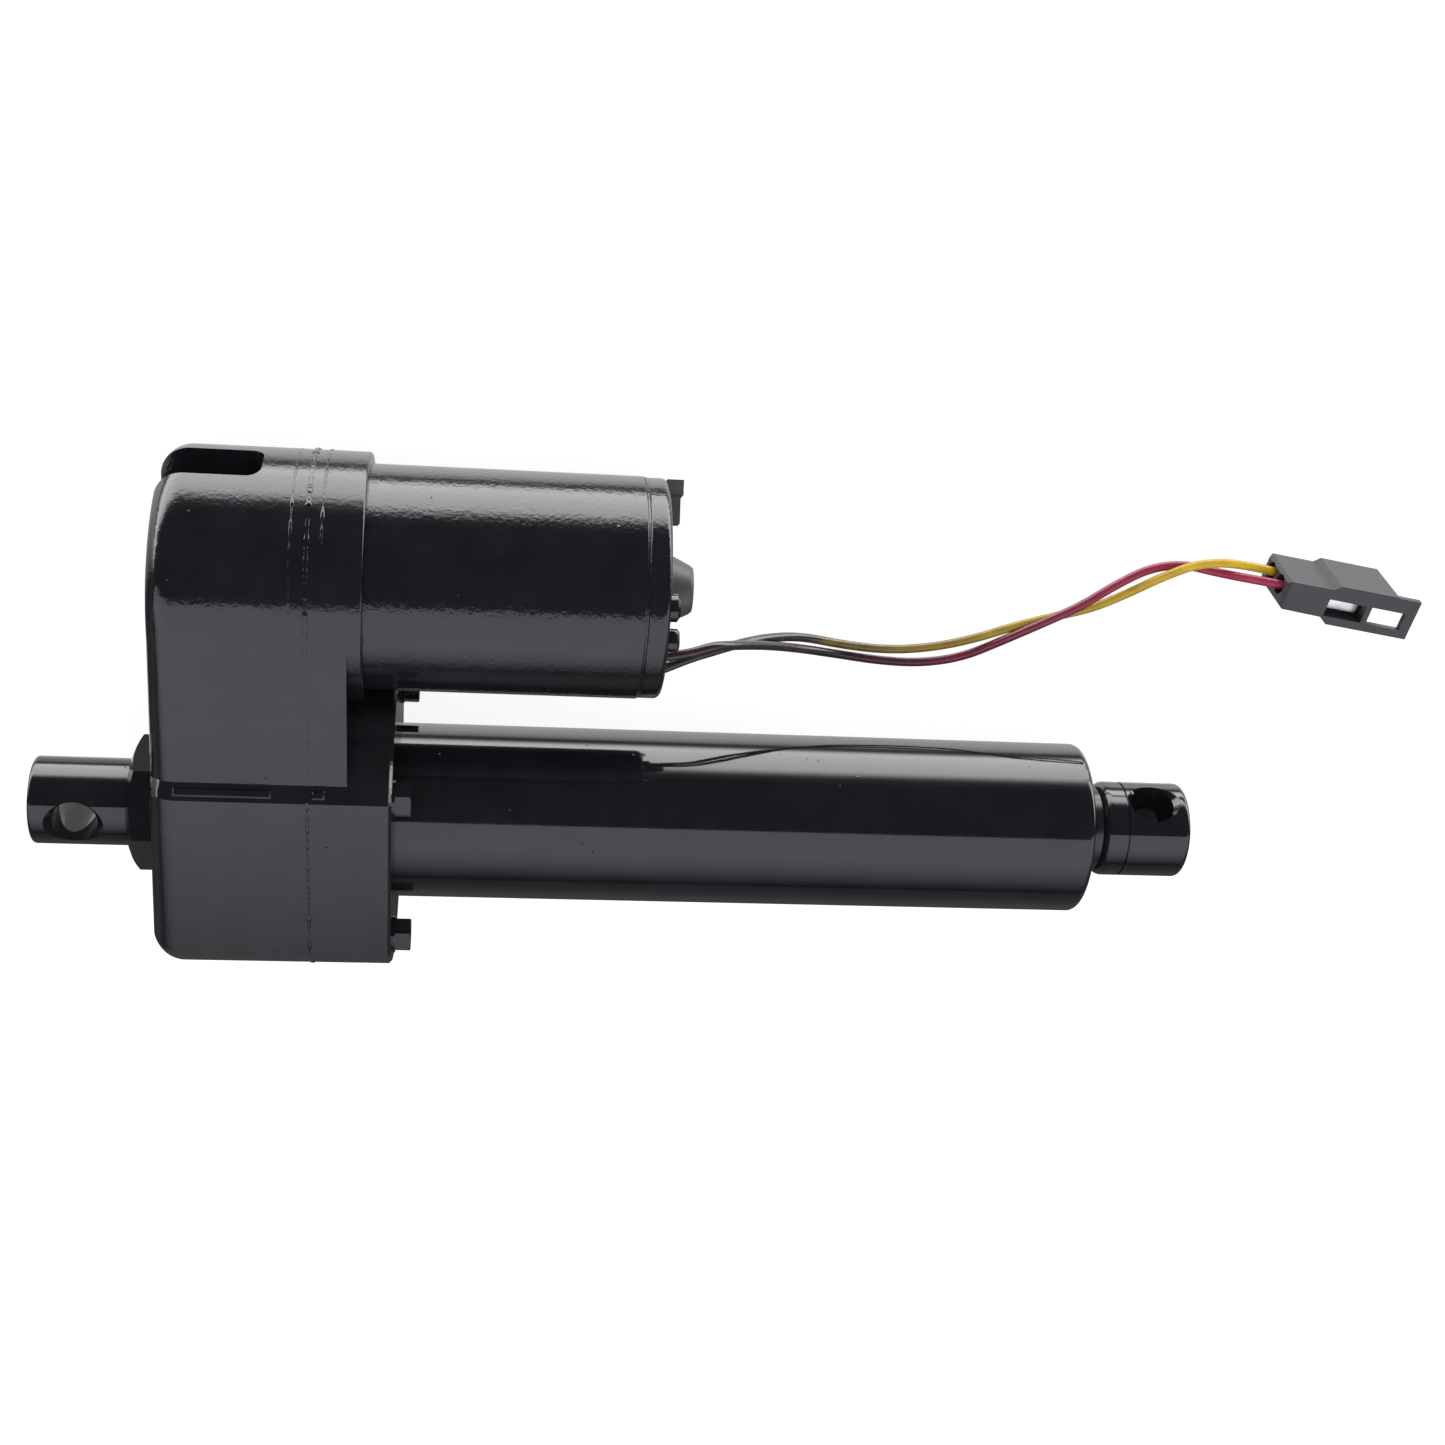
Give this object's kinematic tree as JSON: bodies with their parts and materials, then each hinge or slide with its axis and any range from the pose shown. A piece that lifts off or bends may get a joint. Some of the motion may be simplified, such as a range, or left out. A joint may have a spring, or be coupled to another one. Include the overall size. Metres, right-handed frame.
{
  "type": "linear actuator",
  "caption": "Electric linear actuator with a motor beside a lead screw, a gearbox, a cover tube, a pin eye at each end and a two-wire plug.",
  "frame": {"origin": "centre of the rear pin bore, on the screw's axis", "axes": "+X along the stroke towards the rod end; +Y from the screw's axis towards the motor's axis; +Z along the rear pin bore, up out of the flat side that the unit lies on"},
  "size_m": [0.4056, 0.1555, 0.074],
  "materials": {
    "black_paint": "gloss black paint with orange peel",
    "black_gloss": "smooth gloss black paint",
    "chrome_rod": "hard chrome",
    "steel": "ground steel",
    "gear_steel": "oiled steel",
    "bronze": "machined bronze",
    "guide_plastic": "moulded acetal",
    "magnet": "ferrite",
    "copper": "enamelled copper",
    "carbon": "carbon",
    "dark_plastic": "moulded, matte",
    "screw_black": "satin black",
    "yellow_insulation": "wire insulation, black overspray near the motor",
    "red_insulation": "wire insulation, black overspray near the motor",
    "plug_plastic": "moulded nylon",
    "tin": "tin plate"
  },
  "bodies": {
    "gearbox": {"rear_clevis": "black_gloss", "rear_housing": "black_paint", "housing_gasket": "black_paint", "front_housing": "black_paint", "flange_plate": "black_paint", "flange_bolts": "black_gloss", "cover_tube": "black_gloss", "tube_guide": "guide_plastic", "rod_wiper": "black_gloss", "thrust_bearing": "steel", "screw_bearing": "steel", "idler_bushes": "bronze", "motor_can": "black_paint", "motor_magnets": "magnet", "motor_end_bell": "black_paint", "wire_grommet": "dark_plastic", "bell_lug": "dark_plastic", "end_plug": "dark_plastic", "bell_screws": "screw_black", "terminal_stud": "screw_black", "motor_bearings": "steel", "brush_holder": "guide_plastic", "motor_brushes": "carbon", "connector_housing": "plug_plastic", "connector_terminals": "tin", "yellow_lead": "yellow_insulation", "red_lead": "red_insulation"},
    "rod": {"extension_tube": "chrome_rod", "rod_end": "black_gloss", "drive_nut": "bronze"},
    "screw": {"lead_screw": "steel", "drive_gear": "gear_steel"},
    "idler": {"idler_gear": "gear_steel", "idler_pinion": "steel", "idler_shaft": "steel"},
    "armature": {"armature_shaft": "steel", "armature_core": "gear_steel", "armature_windings": "copper", "commutator": "copper", "motor_pinion": "steel"}
  },
  "joints": [
    {"name": "motor_spin", "type": "hinge", "parent": "gearbox", "child": "armature", "pos_m": [0.1, 0.07612, 0], "axis": [-1, 0, 0], "range_deg": [0, 89599.9]},
    {"name": "idler_spin", "type": "hinge", "parent": "gearbox", "child": "idler", "pos_m": [0.05, 0.04063, 0], "axis": [-1, 0, 0], "range_deg": [-24001, 0]},
    {"name": "screw_spin", "type": "hinge", "parent": "gearbox", "child": "screw", "pos_m": [0.05, 0, 0], "axis": [-1, 0, 0], "range_deg": [0, 7200.1]},
    {"name": "rod_slide", "type": "slide", "parent": "gearbox", "child": "rod", "axis": [1, 0, 0], "range_m": [0, 0.1016]}
  ],
  "couplings": [
    {"joint": "idler_spin", "follows": "motor_spin", "ratio": -0.26786},
    {"joint": "screw_spin", "follows": "motor_spin", "ratio": 0.080357},
    {"joint": "rod_slide", "follows": "motor_spin", "m_per_rad": 0.000064969}
  ]
}
